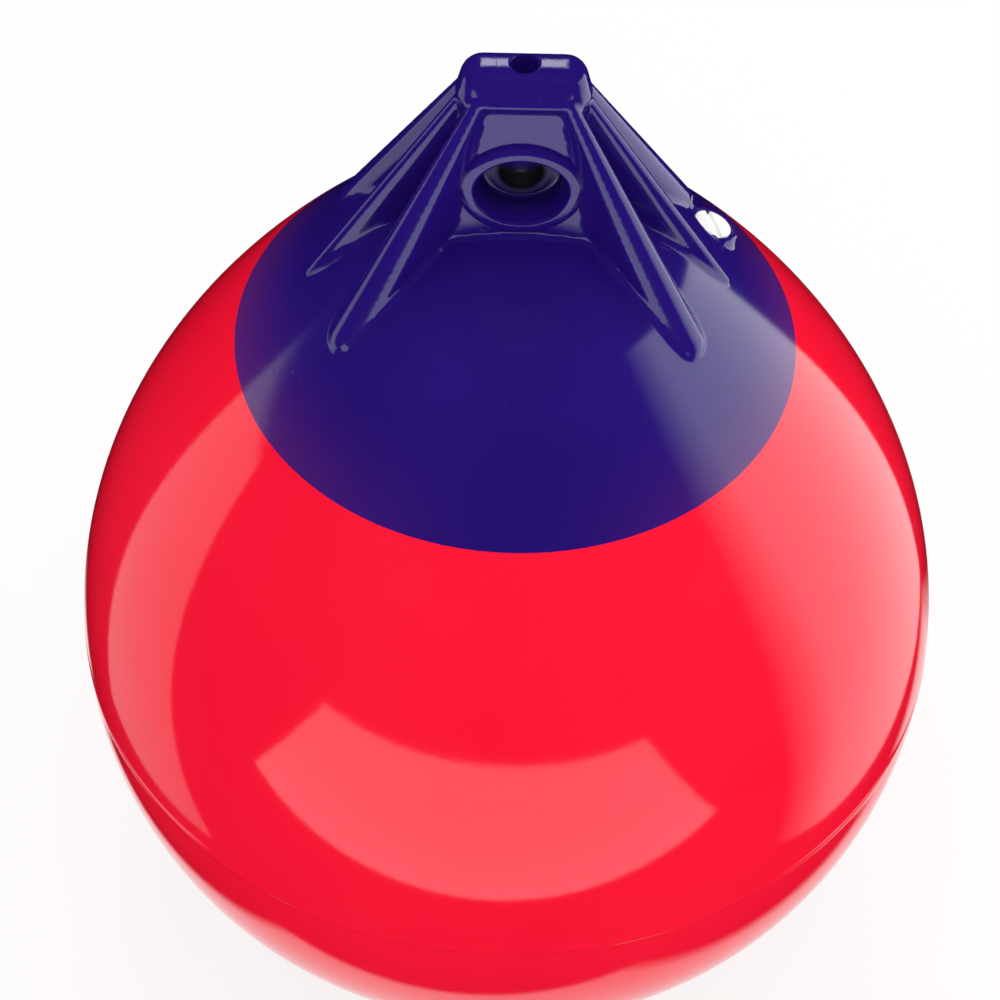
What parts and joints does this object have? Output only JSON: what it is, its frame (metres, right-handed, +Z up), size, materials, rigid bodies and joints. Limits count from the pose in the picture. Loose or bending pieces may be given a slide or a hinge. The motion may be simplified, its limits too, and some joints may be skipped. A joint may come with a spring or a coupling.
{
  "type": "ball fender",
  "caption": "Round inflatable vinyl boat fender: a glossy red ball with a ribbed blue rope hold, a collared rope eye and a white valve plug.",
  "frame": {"origin": "centre of the rope eye's throat, which the fender hangs by", "axes": "+Z up the fender's long axis, out of the crown; the eye's bore runs along Y and -Y is the front in the picture; +X is the side of the valve"},
  "size_m": [0.281, 0.281, 0.382],
  "materials": {
    "red_vinyl": "glossy",
    "blue_vinyl": "glossy",
    "white_plastic": "satin"
  },
  "bodies": {
    "root": {"float_body": "red_vinyl", "rope_hold": "blue_vinyl", "valve_plug": "white_plastic"}
  },
  "joints": []
}
